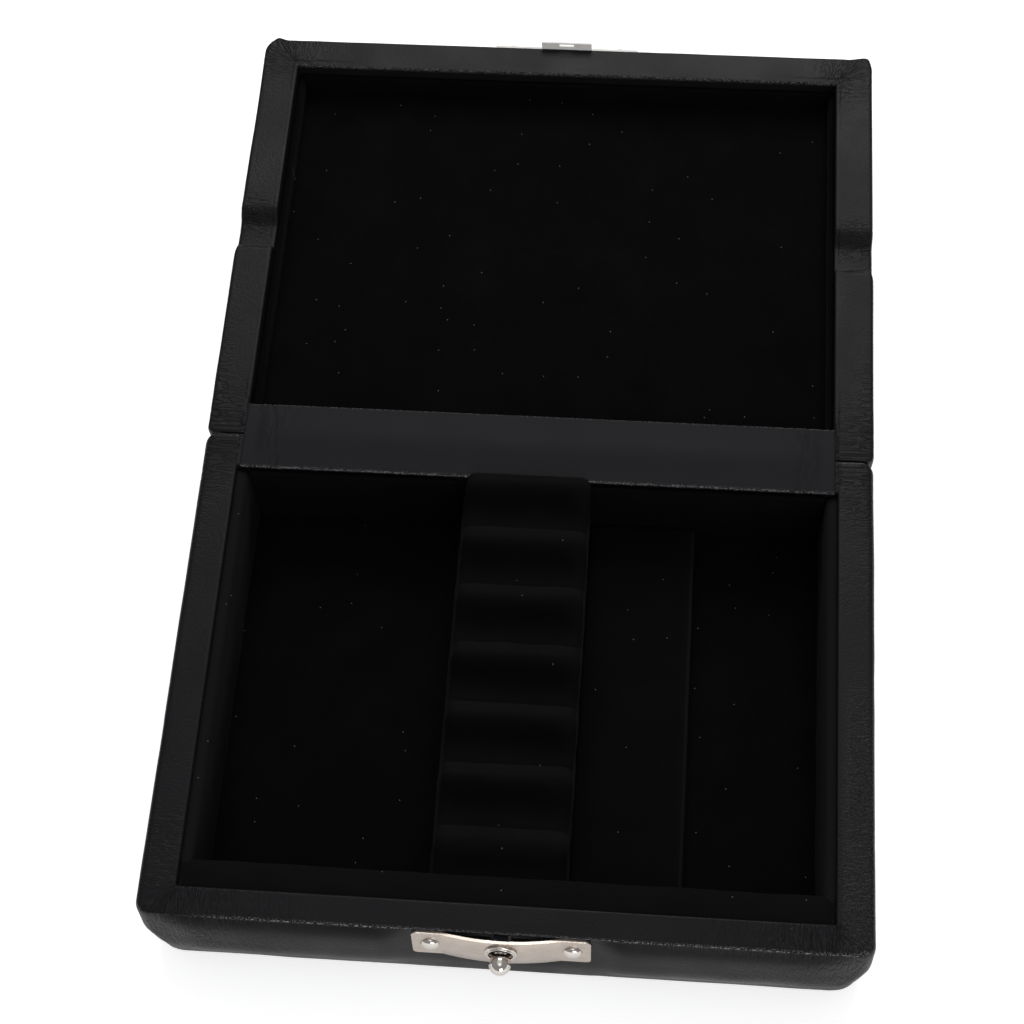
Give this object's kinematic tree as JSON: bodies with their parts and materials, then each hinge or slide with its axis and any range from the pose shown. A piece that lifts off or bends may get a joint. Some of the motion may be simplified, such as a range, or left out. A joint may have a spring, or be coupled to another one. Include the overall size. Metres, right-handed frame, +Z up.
{
  "type": "jewelry box",
  "caption": "Low leather-covered case that opens flat on a hidden hinge, with a push-button catch, velvet compartments, a scalloped cradle for slender pieces and a shallow lined lid.",
  "frame": {"origin": "centre of the underside of the base, on the surface it stands on", "axes": "+Z up; +Y from the front of the base to the hinge and on to the open lid; +X to the right seen from the front"},
  "size_m": [0.171, 0.264, 0.0326],
  "materials": {
    "black_leather": "semi-matte, fine grain",
    "black_velvet": "short pile",
    "case_board": "raw, covered",
    "satin_nickel": "satin nickel plate",
    "bright_nickel": "polished nickel plate",
    "hinge_steel": "plain rolled",
    "spring_steel": "blued"
  },
  "bodies": {
    "base": {"base_bottom_board": "case_board", "base_front_board": "case_board", "base_back_board": "case_board", "base_left_board": "case_board", "base_right_board": "case_board", "base_wall_leather": "black_leather", "base_bottom_leather": "black_leather", "base_floor_lining": "black_velvet", "base_left_liner": "black_velvet", "base_right_liner": "black_velvet", "base_front_liner": "black_velvet", "base_back_left_liner": "black_velvet", "base_back_right_liner": "black_velvet", "scalloped_cradle": "black_velvet", "raised_shelf": "black_velvet", "hinge_strip_base": "black_leather", "hinge_leaf_base": "hinge_steel", "hinge_pin": "hinge_steel", "hinge_screws_base": "hinge_steel", "catch_plate": "satin_nickel", "catch_collar": "bright_nickel", "catch_rivets": "bright_nickel", "latch_spring": "spring_steel", "latch_screws": "spring_steel"},
    "button": {"push_button": "bright_nickel"},
    "lid": {"lid_top_board": "case_board", "lid_front_board": "case_board", "lid_back_board": "case_board", "lid_left_board": "case_board", "lid_right_board": "case_board", "lid_leather": "black_leather", "lid_lining_panel": "black_velvet", "lid_front_liner": "black_velvet", "lid_back_liner": "black_velvet", "lid_left_liner": "black_velvet", "lid_right_liner": "black_velvet", "hinge_strip_lid": "black_leather", "hinge_leaf_lid": "hinge_steel", "hinge_screws_lid": "hinge_steel", "strike_plate": "satin_nickel", "strike_rivets": "bright_nickel"}
  },
  "joints": [
    {"name": "lid_hinge", "type": "hinge", "parent": "base", "child": "lid", "pos_m": [0, 0.06445, 0.03015], "axis": [1, 0, 0], "range_deg": [0, 180]},
    {"name": "button_press", "type": "slide", "parent": "base", "child": "button", "axis": [0, 1, 0], "range_m": [0, 0.0012], "stiffness_N_per_m": 600, "deforming": ["latch_spring"]}
  ]
}
